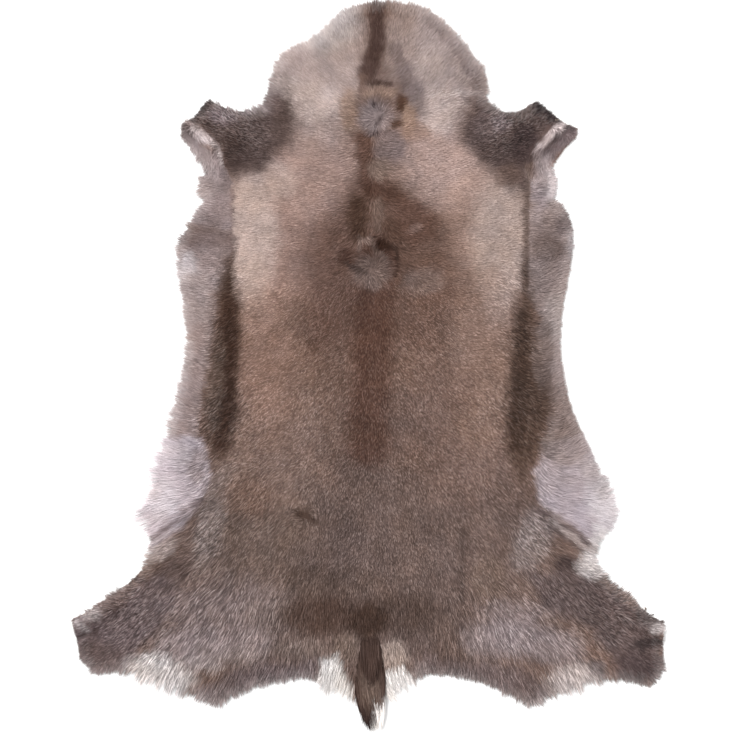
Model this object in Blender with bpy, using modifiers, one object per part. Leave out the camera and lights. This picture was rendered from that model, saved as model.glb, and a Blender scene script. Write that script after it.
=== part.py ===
"""Reindeer hide, skinned and cured flat with its hair on, lying hair side up.

One piece, as a tanner cuts it: neck at +Y, tail at -Y, the left half at -X. The origin is the bottom
centre of its bounding box. The solid is the skin with its pile, out to the tips of the edge hair: an open
sheet with the hide's outline, raised where the leg edges roll and the flank creases, and thickened upwards
by the depth of the pile.
"""

from collections import namedtuple

import bmesh
import bpy
import numpy as np
from mathutils import Vector
from mathutils.geometry import delaunay_2d_cdt

MM = 0.001

# Driving dimensions, in millimetres.
PILE_DEPTH = 20.0
EDGE_PILE_SHARE = 0.34
EDGE_TAPER_WIDTH = 45.0
GRID_STEP = 24.0
OUTLINE_STEPS = 3
CLEAR_OF_OUTLINE = 0.55 * GRID_STEP
CLEAR_OF_FOLD = 0.5 * GRID_STEP
FOLD_POINT_STEP = 18.0
SAME_POINT = 0.01

HAIR_COLOUR = (0.205, 0.142, 0.118, 1.0)
HAIR_ROUGHNESS = 0.9

# The edge from the neck round to the tail, one row for each place, left half and right half. A corner is
# where the knife turned; elsewhere the edge runs on smoothly.
Place = namedtuple("Place", "name left right corner")
OUTLINE = (
    Place("nape", (-38, 616), (81, 623), False),
    Place("neck crown", (-76, 582), (124, 599), False),
    Place("neck top side", (-102, 562), (158, 562), False),
    Place("neck bulge", (-141, 545), (186, 527), False),
    Place("neck side", (-162, 502), (203, 497), False),
    Place("neck root", (-172, 474), (201, 466), False),
    Place("neck corner", (-181, 451), (218, 446), True),
    Place("shoulder", (-222, 444), (248, 442), False),
    Place("foreleg front corner", (-273, 464), (287, 461), True),
    Place("foreleg cut", (-299, 430), (333, 423), True),
    Place("foreleg roll", (-316, 425), (355, 416), True),
    Place("foreleg back corner", (-323, 402), (357, 403), True),
    Place("foreleg back", (-289, 357), (322, 362), False),
    Place("armpit", (-281, 338), (314, 342), False),
    Place("armpit tuft", (-291, 322), (321, 318), False),
    Place("belly notch", (-278, 295), (316, 294), True),
    Place("belly shoulder", (-296, 262), (338, 270), False),
    Place("belly top", (-322, 215), (349, 232), False),
    Place("upper belly", (-321, 160), (343, 165), False),
    Place("mid belly", (-311, 90), (330, 95), False),
    Place("waist", (-309, 30), (328, 35), False),
    Place("lower belly", (-320, -30), (335, -20), False),
    Place("flank", (-333, -85), (352, -82), False),
    Place("lower flank", (-351, -147), (379, -137), False),
    Place("flank tuft top", (-374, -190), (399, -194), False),
    Place("flank tuft", (-391, -222), (419, -228), False),
    Place("flank tuft foot", (-382, -260), (415, -262), False),
    Place("stifle notch", (-372, -302), (388, -308), False),
    Place("thigh top", (-390, -343), (404, -352), False),
    Place("hind leg front", (-446, -388), (446, -385), False),
    Place("hind leg shin", (-478, -412), (477, -415), False),
    Place("hind toe front corner", (-507, -427), (506, -433), True),
    Place("hind toe", (-498, -464), (503, -480), False),
    Place("hind toe back corner", (-493, -494), (506, -508), True),
    Place("heel corner", (-464, -523), (484, -543), True),
    Place("heel", (-423, -513), (428, -528), False),
    Place("back of thigh", (-372, -533), (362, -538), False),
    Place("thigh fringe", (-314, -546), (305, -558), False),
    Place("thigh lobe", (-256, -575), (279, -575), True),
    Place("lobe foot", (-214, -548), (240, -555), False),
    Place("seat", (-150, -530), (168, -525), False),
    Place("rump edge", (-100, -523), (105, -519), False),
    Place("tail tuft", (-76, -532), (74, -525), False),
    Place("tail root", (-45, -560), (42, -555), False),
    Place("tail hair", (-26, -592), (35, -592), False),
    Place("tail end", (-2, -612), (30, -612), False),
)
TAIL_TIP = (20, -625)

# A lift raises the skin off the ground under a roll or a crease. A dip parts the pile along its line, as a
# share of the pile's depth, and leaves the skin flat.
Fold = namedtuple("Fold", "name start end width lift dip")
FOLDS = (
    Fold("left foreleg roll, cut end", (-318, 426), (-264, 377), 46, 11, 0.0),
    Fold("left foreleg roll, inner end", (-264, 377), (-243, 318), 40, 8, 0.0),
    Fold("right foreleg roll, cut end", (336, 424), (290, 367), 46, 11, 0.0),
    Fold("right foreleg roll, inner end", (290, 367), (288, 306), 40, 8, 0.0),
    Fold("left belly crease", (-296, 234), (-232, 214), 40, 0, 0.35),
    Fold("left flank crease", (-374, -294), (-284, -228), 40, 7, 0.0),
    Fold("right flank crease", (296, -248), (384, -299), 40, 7, 0.0),
    Fold("right stifle crease", (350, -312), (384, -321), 36, 0, 0.3),
    Fold("left thigh wrinkle", (-390, -362), (-348, -378), 40, 0, 0.4),
    Fold("left hind leg ridge", (-504, -448), (-436, -414), 44, 9, 0.0),
    Fold("left hind leg trough", (-500, -474), (-462, -452), 36, 0, 0.4),
    Fold("right hind leg ridge", (505, -456), (428, -420), 44, 9, 0.0),
    Fold("right hind leg trough", (500, -484), (440, -461), 36, 0, 0.4),
    Fold("withers whorl", (4, 262), (-6, 148), 60, 0, 0.18),
    Fold("neck parting", (16, 620), (-8, 330), 50, 0, 0.15),
)

# Where the coat is short, as a share of the back's pile at the middle of each round patch.
ShortCoat = namedtuple("ShortCoat", "name middle radius share")
SHORT_COATS = (
    ShortCoat("left foreleg", (-290, 415), 110, 0.45),
    ShortCoat("right foreleg", (315, 415), 110, 0.45),
    ShortCoat("left hind leg", (-480, -455), 120, 0.5),
    ShortCoat("right hind leg", (485, -460), 120, 0.5),
    ShortCoat("tail", (20, -590), 70, 0.6),
)


def clear_scene():
    for obj in list(bpy.data.objects):
        bpy.data.objects.remove(obj, do_unlink=True)


def smooth_step(value):
    value = np.clip(value, 0.0, 1.0)
    return value * value * (3.0 - 2.0 * value)


def edge_points():
    """Points round the hide's edge, from one closed Bezier curve through the places of the outline."""
    right = [(place.right, place.corner) for place in OUTLINE]
    left = [(place.left, place.corner) for place in reversed(OUTLINE)]
    stops = right + [(TAIL_TIP, False)] + left
    curve = bpy.data.curves.new("hide_edge", "CURVE")
    curve.dimensions = "2D"
    curve.resolution_u = OUTLINE_STEPS
    spline = curve.splines.new("BEZIER")
    spline.bezier_points.add(len(stops) - 1)
    spline.use_cyclic_u = True
    for bezier, ((x, y), corner) in zip(spline.bezier_points, stops):
        bezier.co = (x, y, 0.0)
        kind = "VECTOR" if corner else "AUTO"
        bezier.handle_left_type = kind
        bezier.handle_right_type = kind
    guide = bpy.data.objects.new("hide_edge", curve)
    line = bpy.data.meshes.new_from_object(guide)
    points = np.array([vertex.co[:2] for vertex in line.vertices])
    bpy.data.objects.remove(guide)
    bpy.data.curves.remove(curve)
    bpy.data.meshes.remove(line)
    return points - (points.min(axis=0) + points.max(axis=0)) / 2.0, points


def distance_to_line(points, start, end):
    """Each point's distance to the straight line from start to end."""
    start = np.asarray(start, float)
    along = np.asarray(end, float) - start
    share = np.clip((points - start) @ along / (along @ along), 0.0, 1.0)
    return np.linalg.norm(points - start - share[:, None] * along, axis=1)


def distance_to_edge(points, edge):
    starts = edge
    ends = np.roll(edge, -1, axis=0)
    return np.min([distance_to_line(points, a, b) for a, b in zip(starts, ends)], axis=0)


def inside(points, edge):
    """True for each point that a line to the right crosses the edge from an odd number of times."""
    x, y = points[:, 0], points[:, 1]
    odd = np.zeros(len(points), bool)
    for (ax, ay), (bx, by) in zip(edge, np.roll(edge, -1, axis=0)):
        if ay == by:
            continue
        crosses = (ay > y) != (by > y)
        odd ^= crosses & (x < ax + (y - ay) * (bx - ax) / (by - ay))
    return odd


def fold_points():
    """Points along each fold's crest and along both of its feet."""
    points = []
    for fold in FOLDS:
        start, end = np.array(fold.start, float), np.array(fold.end, float)
        length = np.linalg.norm(end - start)
        across = np.array([start[1] - end[1], end[0] - start[0]]) / length
        steps = int(length / FOLD_POINT_STEP) + 1
        for offset in (-fold.width / 2, 0.0, fold.width / 2):
            for share in np.linspace(0.0, 1.0, steps + 1):
                points.append(start + share * (end - start) + offset * across)
    return thinned(np.array(points), CLEAR_OF_FOLD)


def thinned(points, clearance):
    """The points, without those nearer than the clearance to one already kept."""
    kept = []
    for point in points:
        if all(np.linalg.norm(point - other) >= clearance for other in kept):
            kept.append(point)
    return np.array(kept)


def grid_points(edge):
    """A grid of equal triangles over the hide's bounding box."""
    low, high = edge.min(axis=0), edge.max(axis=0)
    row_step = GRID_STEP * np.sqrt(3.0) / 2.0
    points = []
    for row, y in enumerate(np.arange(low[1], high[1], row_step)):
        shift = GRID_STEP / 2.0 if row % 2 else 0.0
        for x in np.arange(low[0] + shift, high[0], GRID_STEP):
            points.append((x, y))
    return np.array(points)


def skin_lift(points):
    """How far the skin is off the ground at each point."""
    lift = np.zeros(len(points))
    for fold in FOLDS:
        near = 1.0 - distance_to_line(points, fold.start, fold.end) / (fold.width / 2.0)
        lift = np.maximum(lift, fold.lift * smooth_step(near))
    return lift


def pile_share(points, edge):
    """The pile's depth at each point, as a share of the depth on the back."""
    inward = smooth_step(distance_to_edge(points, edge) / EDGE_TAPER_WIDTH)
    share = EDGE_PILE_SHARE + (1.0 - EDGE_PILE_SHARE) * inward
    for coat in SHORT_COATS:
        away = np.linalg.norm(points - np.array(coat.middle, float), axis=1) / coat.radius
        share *= 1.0 - (1.0 - coat.share) * smooth_step(1.0 - away)
    for fold in FOLDS:
        near = 1.0 - distance_to_line(points, fold.start, fold.end) / (fold.width / 2.0)
        share *= 1.0 - fold.dip * smooth_step(near)
    return np.maximum(share, EDGE_PILE_SHARE * 0.6)


def hide_sheet():
    """The open sheet under the pile, with a vertex group that holds the pile's depth."""
    centred, edge = edge_points()
    shift = centred[0] - edge[0]
    folds = fold_points()
    folds = folds[inside(folds, edge)]
    folds = folds[distance_to_edge(folds, edge) > CLEAR_OF_OUTLINE]
    grid = grid_points(edge)
    grid = grid[inside(grid, edge)]
    grid = grid[distance_to_edge(grid, edge) > CLEAR_OF_OUTLINE]
    from_folds = np.min([np.linalg.norm(grid - point, axis=1) for point in folds], axis=0)
    grid = grid[from_folds > CLEAR_OF_FOLD]
    points = [Vector(point) for point in np.vstack([edge, folds, grid])]
    border = [list(range(len(edge)))]
    inner_faces = 1
    points, _, faces, _, _, _ = delaunay_2d_cdt(points, [], border, inner_faces, SAME_POINT)
    flat = np.array([point[:] for point in points])
    heights = skin_lift(flat)
    corners = [((x + shift[0]) * MM, (y + shift[1]) * MM, z * MM) for (x, y), z in zip(flat, heights)]
    mesh = bpy.data.meshes.new("reindeer_hide")
    mesh.from_pydata(corners, [], faces)
    face_up(mesh)
    hide = bpy.data.objects.new("reindeer_hide", mesh)
    pile = hide.vertex_groups.new(name="pile")
    for index, share in enumerate(pile_share(flat, edge)):
        pile.add([index], float(share), "REPLACE")
    return hide


def face_up(mesh):
    work = bmesh.new()
    work.from_mesh(mesh)
    for face in work.faces:
        if face.normal.z < 0.0:
            face.normal_flip()
    work.to_mesh(mesh)
    work.free()


def hair_material():
    material = bpy.data.materials.new("brown_hair")
    material.use_nodes = True
    surface = material.node_tree.nodes["Principled BSDF"]
    surface.inputs["Base Color"].default_value = HAIR_COLOUR
    surface.inputs["Roughness"].default_value = HAIR_ROUGHNESS
    surface.inputs["Metallic"].default_value = 0.0
    return material


def make_hide():
    hide = hide_sheet()
    hide.data.shade_smooth()
    hide.data.materials.append(hair_material())
    depth = hide.modifiers.new("pile_depth", "SOLIDIFY")
    depth.thickness = PILE_DEPTH * MM
    depth.offset = 1.0
    depth.use_even_offset = False
    depth.vertex_group = "pile"
    parts = bpy.data.collections.new("Reindeer hide")
    bpy.context.scene.collection.children.link(parts)
    parts.objects.link(hide)
    return hide


clear_scene()
make_hide()
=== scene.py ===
"""Reindeer hide, cured with its hair on and laid out flat with the hair up.

The skin is a thin sheet of suede on the folds of its solid. A soft underfur lies on it, and the coat of
guard hair grows through that from a scalp that carries, point by point, which way the hair lies, how far it
reaches, how high it stands and its colour. The fringe along the edge is longer hair on the same scalp, and
the tail has a strip of its own. Places and lengths in the tables are millimetres from the hide's middle,
with the neck at +Y and the tail at -Y.
"""

from collections import namedtuple

import bmesh
import bpy
import numpy as np
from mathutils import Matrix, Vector, noise
from mathutils.geometry import delaunay_2d_cdt


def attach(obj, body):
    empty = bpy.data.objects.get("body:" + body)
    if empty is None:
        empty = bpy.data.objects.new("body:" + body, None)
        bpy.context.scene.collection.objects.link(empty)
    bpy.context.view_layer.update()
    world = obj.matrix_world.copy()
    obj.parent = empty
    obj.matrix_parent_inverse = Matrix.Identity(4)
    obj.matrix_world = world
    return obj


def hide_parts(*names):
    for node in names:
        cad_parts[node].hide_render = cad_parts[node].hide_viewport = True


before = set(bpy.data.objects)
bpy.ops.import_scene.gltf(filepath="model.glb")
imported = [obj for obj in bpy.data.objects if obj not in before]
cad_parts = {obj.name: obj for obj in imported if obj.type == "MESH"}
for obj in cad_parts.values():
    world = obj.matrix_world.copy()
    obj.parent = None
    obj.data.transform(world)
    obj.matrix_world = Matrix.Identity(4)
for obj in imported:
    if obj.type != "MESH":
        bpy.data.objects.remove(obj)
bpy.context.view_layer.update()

MM = 0.001
BODY = "root"
HIDE = "reindeer_hide"

# The sheet and the steps of its meshes, in millimetres.
SKIN_THICKNESS = 2.0
EDGE_STEP = 5.0
SCALP_STEP = 4.0
SKIN_STEP = 10.0
SAME_POINT = 0.01
UNDERSIDE_NORMAL = -0.3
MIDLINE = 7.0

# The coat. The wool stands to a share of the hair's height, and runs out over its taper. The hair lies down
# and turns outward over the edge taper, and reaches for a share of the room that it has to the edge. A hair
# shows most at a share of its reach, so it takes its colour from there.
UNDERFUR_SHARE = 0.48
UNDERFUR_TAPER = 26.0
LEAST_WOOL = 0.4
EDGE_TAPER = 34.0
EDGE_TURN = 0.5
EDGE_SINK = 0.62
EDGE_REACH = 0.85
USUAL_REACH = 14.0
SEEN_ALONG = 0.55
SEEN_ROOM = 0.5

# The skin stops short of the hair's edge by this share of the overhang.
SKIN_SHORT = 0.6

# The tail's own strip, how high it lies, and the hair on it.
TAIL_STEP = 5.0
TAIL_LIFT = 6.0
TAIL_CROWN = 2.5
TAIL_SIDE = 18.0
TAIL_NARROWING = 0.7
TAIL_HAIR_SHARE = 0.72
TAIL_HAIR_SHORTEST = 18.0
TAIL_HAIR_LONGEST = 62.0
TAIL_HAIR_HEIGHT = 5.0
TAIL_GRAIN = 0.25

# Colours are given as they look on the finished hide. Hair shades itself, so it is dyed paler than it looks.
DYE_GAIN = 1.1
DARKEST = 0.004
PALEST = 0.92
SHEEN = 0.006
PALE_RIM = (205, 196, 194)
PALE_RIM_WIDTH = 14.0
PALE_RIM_SHARE = 0.2
PALE_TIP = (232, 228, 226)


def to_linear(tone):
    """A tone of 0 to 255 for red, green and blue, as a linear colour."""
    share = np.asarray(tone, float) / 255.0
    return np.where(share <= 0.04045, share / 12.92, ((share + 0.055) / 1.055) ** 2.4)


def smooth_step(value):
    value = np.clip(value, 0.0, 1.0)
    return value * value * (3.0 - 2.0 * value)


# How the hair lies. The rows are the left half, and the right half mirrors them about the midline. The lean
# is where a hair's tip points, in degrees anticlockwise from +X: 180 is out to the left, 270 is towards the
# tail. Reach and height are from a hair's root to its tip. The grain is how far the hairs differ in shade
# from each other. A row counts for most within its size of its place.
Lie = namedtuple("Lie", "name place size lean reach height grain")
LIES = (
    Lie("nape", (-12, 600), 50, 100, 11, 5, 0.1),
    Lie("neck crown", (-75, 565), 50, 125, 11, 4, 0.05),
    Lie("neck side", (-140, 515), 50, 142, 12, 4, 0.06),
    Lie("neck", (-55, 495), 60, 140, 10, 4, 0.05),
    Lie("neck root", (-150, 450), 45, 158, 11, 5, 0.16),
    Lie("neck whorl", (-25, 435), 40, 178, 11, 7, 0.18),
    Lie("shoulder blade", (-110, 390), 70, 176, 9, 4, 0.07),
    Lie("withers", (-25, 330), 50, 190, 11, 6, 0.14),
    Lie("withers whorl", (-25, 210), 45, 215, 12, 8, 0.22),
    Lie("foreleg root", (-195, 400), 40, 165, 10, 4, 0.7),
    Lie("foreleg", (-262, 425), 40, 158, 9, 3, 0.7),
    Lie("foreleg toe", (-312, 432), 14, 200, 7, 2, 0.3),
    Lie("foreleg front", (-248, 458), 18, 122, 9, 3, 0.5),
    Lie("foreleg roll", (-286, 393), 24, 320, 13, 2, 0.04),
    Lie("foreleg back", (-296, 372), 20, 300, 16, 3, 0.1),
    Lie("armpit", (-268, 345), 20, 290, 15, 4, 0.1),
    Lie("armpit tuft", (-286, 318), 22, 186, 20, 4, 0.1),
    Lie("chest side", (-200, 300), 60, 180, 9, 4, 0.05),
    Lie("rib top", (-190, 210), 60, 181, 9, 4, 0.05),
    Lie("upper back", (-100, 200), 60, 190, 8, 5, 0.14),
    Lie("belly shoulder", (-300, 250), 35, 178, 14, 5, 0.1),
    Lie("upper belly", (-300, 150), 35, 152, 15, 5, 0.07),
    Lie("belly", (-300, 60), 35, 140, 16, 5, 0.02),
    Lie("lower belly", (-312, -40), 35, 142, 16, 5, 0.02),
    Lie("flank flap", (-330, -120), 35, 156, 19, 5, 0.02),
    Lie("stripe top", (-235, 150), 35, 203, 12, 6, 0.3),
    Lie("stripe", (-238, 50), 35, 217, 13, 6, 0.55),
    Lie("stripe foot", (-245, -80), 40, 222, 13, 6, 0.6),
    Lie("spine", (-20, 100), 50, 238, 7, 5, 0.36),
    Lie("back", (-95, 60), 60, 220, 7, 5, 0.38),
    Lie("rib", (-165, 50), 60, 212, 7.5, 5, 0.22),
    Lie("loin", (-50, -110), 70, 240, 7, 5, 0.42),
    Lie("loin side", (-165, -120), 60, 222, 7.5, 5, 0.36),
    Lie("groin", (-245, -200), 45, 222, 13, 7, 0.4),
    Lie("flank tuft", (-335, -200), 40, 186, 34, 4, 0.0),
    Lie("flank tuft foot", (-345, -255), 35, 200, 30, 4, 0.0),
    Lie("stifle", (-345, -315), 35, 206, 15, 5, 0.25),
    Lie("grizzled thigh", (-266, -280), 28, 226, 13, 6, 0.6),
    Lie("croup", (-45, -300), 70, 254, 8, 5, 0.36),
    Lie("hip", (-170, -310), 60, 238, 10, 5, 0.34),
    Lie("rump", (-55, -440), 60, 264, 16, 6, 0.3),
    Lie("tail tufts", (-58, -530), 26, 256, 50, 6, 0.1),
    Lie("thigh", (-175, -430), 60, 247, 24, 5, 0.46),
    Lie("outer thigh", (-285, -400), 60, 233, 21, 5, 0.5),
    Lie("back of thigh", (-285, -510), 50, 241, 27, 6, 0.36),
    Lie("seat", (-130, -505), 50, 258, 23, 6, 0.38),
    Lie("hind leg", (-390, -440), 50, 218, 14, 4, 0.6),
    Lie("hind toe", (-465, -465), 40, 205, 9, 4, 0.35),
    Lie("hind shin", (-436, -386), 22, 168, 11, 4, 0.5),
    Lie("heel", (-415, -500), 30, 232, 14, 5, 0.3),
)

# Where the hair turns out from a middle, as at a crown of the head. The spin turns it from straight out.
Whorl = namedtuple("Whorl", "name middle size spin")
WHORLS = (
    Whorl("neck whorl", (20, 430), 26, 12),
    Whorl("withers whorl", (8, 168), 28, 25),
    Whorl("withers curl", (10, 225), 18, 150),
    Whorl("loin swirl", (-104, -252), 18, -40),
)

# The hair that hangs past the skin's edge.
Fringe = namedtuple("Fringe", "name place overhang")
FRINGES = (
    Fringe("nape", (-20, 620), 9),
    Fringe("neck crown", (-95, 565), 11),
    Fringe("neck side", (-160, 500), 12),
    Fringe("neck root", (-185, 450), 9),
    Fringe("shoulder", (-225, 445), 5),
    Fringe("foreleg front", (-262, 462), 5),
    Fringe("foreleg cut", (-292, 450), 3),
    Fringe("foreleg back", (-305, 380), 7),
    Fringe("armpit tuft", (-290, 322), 18),
    Fringe("belly shoulder", (-310, 240), 11),
    Fringe("belly", (-315, 100), 10),
    Fringe("lower belly", (-320, -40), 12),
    Fringe("flank flap", (-350, -140), 24),
    Fringe("flank tuft", (-392, -200), 48),
    Fringe("flank tuft foot", (-388, -262), 36),
    Fringe("stifle notch", (-372, -305), 16),
    Fringe("thigh top", (-400, -350), 5),
    Fringe("hind shin", (-470, -405), 6),
    Fringe("hind toe", (-500, -460), 2),
    Fringe("heel", (-450, -520), 10),
    Fringe("back of thigh", (-370, -533), 34),
    Fringe("thigh lobe", (-256, -572), 15),
    Fringe("seat", (-160, -530), 9),
    Fringe("rump edge", (-95, -524), 8),
    Fringe("left of the tail", (-50, -545), 46),
    Fringe("right of the tail", (60, -535), 30),
    Fringe("right rump edge", (109, -524), 7),
    Fringe("right seat", (174, -530), 9),
    Fringe("right thigh lobe", (270, -572), 14),
    Fringe("right back of thigh", (385, -533), 26),
    Fringe("right heel", (464, -520), 8),
    Fringe("right hind toe", (510, -460), 4),
    Fringe("right hind shin", (484, -405), 7),
    Fringe("right thigh top", (414, -350), 14),
    Fringe("right stifle notch", (386, -318), 8),
    Fringe("right flank tuft foot", (400, -262), 14),
    Fringe("right flank tuft", (412, -215), 22),
    Fringe("right flank flap", (372, -130), 6),
    Fringe("right lower belly", (338, -40), 5),
    Fringe("right belly", (325, 100), 5),
    Fringe("right belly shoulder", (343, 220), 5),
    Fringe("right armpit tuft", (318, 320), 9),
    Fringe("right foreleg back", (330, 375), 1),
    Fringe("right foreleg cut", (330, 432), 2),
    Fringe("right foreleg front", (290, 462), 3),
    Fringe("right shoulder", (240, 445), 7),
    Fringe("right neck root", (202, 455), 10),
    Fringe("right neck side", (176, 520), 12),
    Fringe("right neck crown", (120, 580), 10),
    Fringe("right nape", (40, 628), 9),
)

# Locks of hair that hang over the edge for more than the room that they grow in.
Lock = namedtuple("Lock", "name place size extra")
LOCKS = (
    Lock("left of the tail", (-56, -540), 24, 42),
    Lock("right of the tail", (64, -535), 18, 10),
    Lock("flank tuft", (-376, -208), 34, 30),
)

# The folds of the skin: rolls at the forelegs' cut edges, creases at the flanks, ridges in the hind legs.
Fold = namedtuple("Fold", "name start end width lift")
FOLDS = (
    Fold("left foreleg roll, cut end", (-319, 427), (-265, 378), 34, 10),
    Fold("left foreleg roll, inner end", (-265, 378), (-244, 319), 30, 7),
    Fold("right foreleg roll, cut end", (335, 425), (289, 368), 34, 10),
    Fold("right foreleg roll, inner end", (289, 368), (287, 307), 30, 7),
    Fold("left flank crease", (-375, -293), (-285, -227), 32, 6),
    Fold("right flank crease", (295, -247), (383, -298), 32, 6),
    Fold("left hind leg ridge", (-505, -447), (-437, -413), 34, 8),
    Fold("right hind leg ridge", (504, -455), (427, -419), 34, 8),
)

# Where the coat parts and sinks along a line. The depth is a share of the hair's height there.
Parting = namedtuple("Parting", "name line width depth")
PARTINGS = (
    Parting("neck whorl slit", ((12, 452), (20, 437), (20, 417), (16, 403)), 6, 0.8),
    Parting("neck whorl foot", ((2, 401), (33, 400)), 6, 0.6),
    Parting("neck curl slit", ((2, 487), (24, 490), (43, 485)), 7, 0.7),
    Parting("left belly crease", ((-297, 235), (-262, 229), (-233, 215)), 20, 0.6),
    Parting("left rib crease", ((-231, 310), (-228, 240), (-228, 160)), 9, 0.7),
    Parting("right rib crease", ((270, 330), (270, 250), (268, 140)), 9, 0.7),
    Parting("right flank crease", ((296, -245), (338, -268), (378, -297)), 9, 0.8),
    Parting("right stifle crease", ((310, -266), (350, -300), (384, -320)), 8, 0.7),
    Parting("left flank crease", ((-372, -292), (-330, -258), (-285, -224)), 8, 0.8),
    Parting("left flank lower crease", ((-365, -306), (-322, -277)), 7, 0.6),
    Parting("left flank upper crease", ((-352, -262), (-300, -226), (-278, -200)), 7, 0.5),
    Parting("left thigh wrinkle", ((-406, -357), (-380, -366), (-350, -370)), 10, 0.7),
    Parting("left hind leg trough", ((-503, -464), (-478, -452), (-455, -447)), 10, 0.7),
    Parting("right hind leg trough", ((500, -470), (470, -462), (441, -460)), 12, 0.7),
    Parting("left foreleg trough", ((-300, 398), (-268, 358), (-252, 318)), 9, 0.6),
    Parting("right foreleg trough", ((334, 418), (300, 372), (290, 330)), 9, 0.6),
    Parting("withers slit", ((44, 208), (48, 185), (44, 160)), 9, 0.8),
    Parting("withers hollow", ((12, 224), (36, 208)), 18, 0.7),
    Parting("withers left slit", ((-36, 179), (-20, 171), (-6, 160)), 7, 0.8),
    Parting("withers second slit", ((-33, 170), (-16, 160)), 6, 0.7),
    Parting("croup line", ((161, -276), (160, -395)), 7, 0.5),
    Parting("croup crescent", ((-128, -247), (-108, -250), (-84, -264)), 10, 0.6),
)

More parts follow.
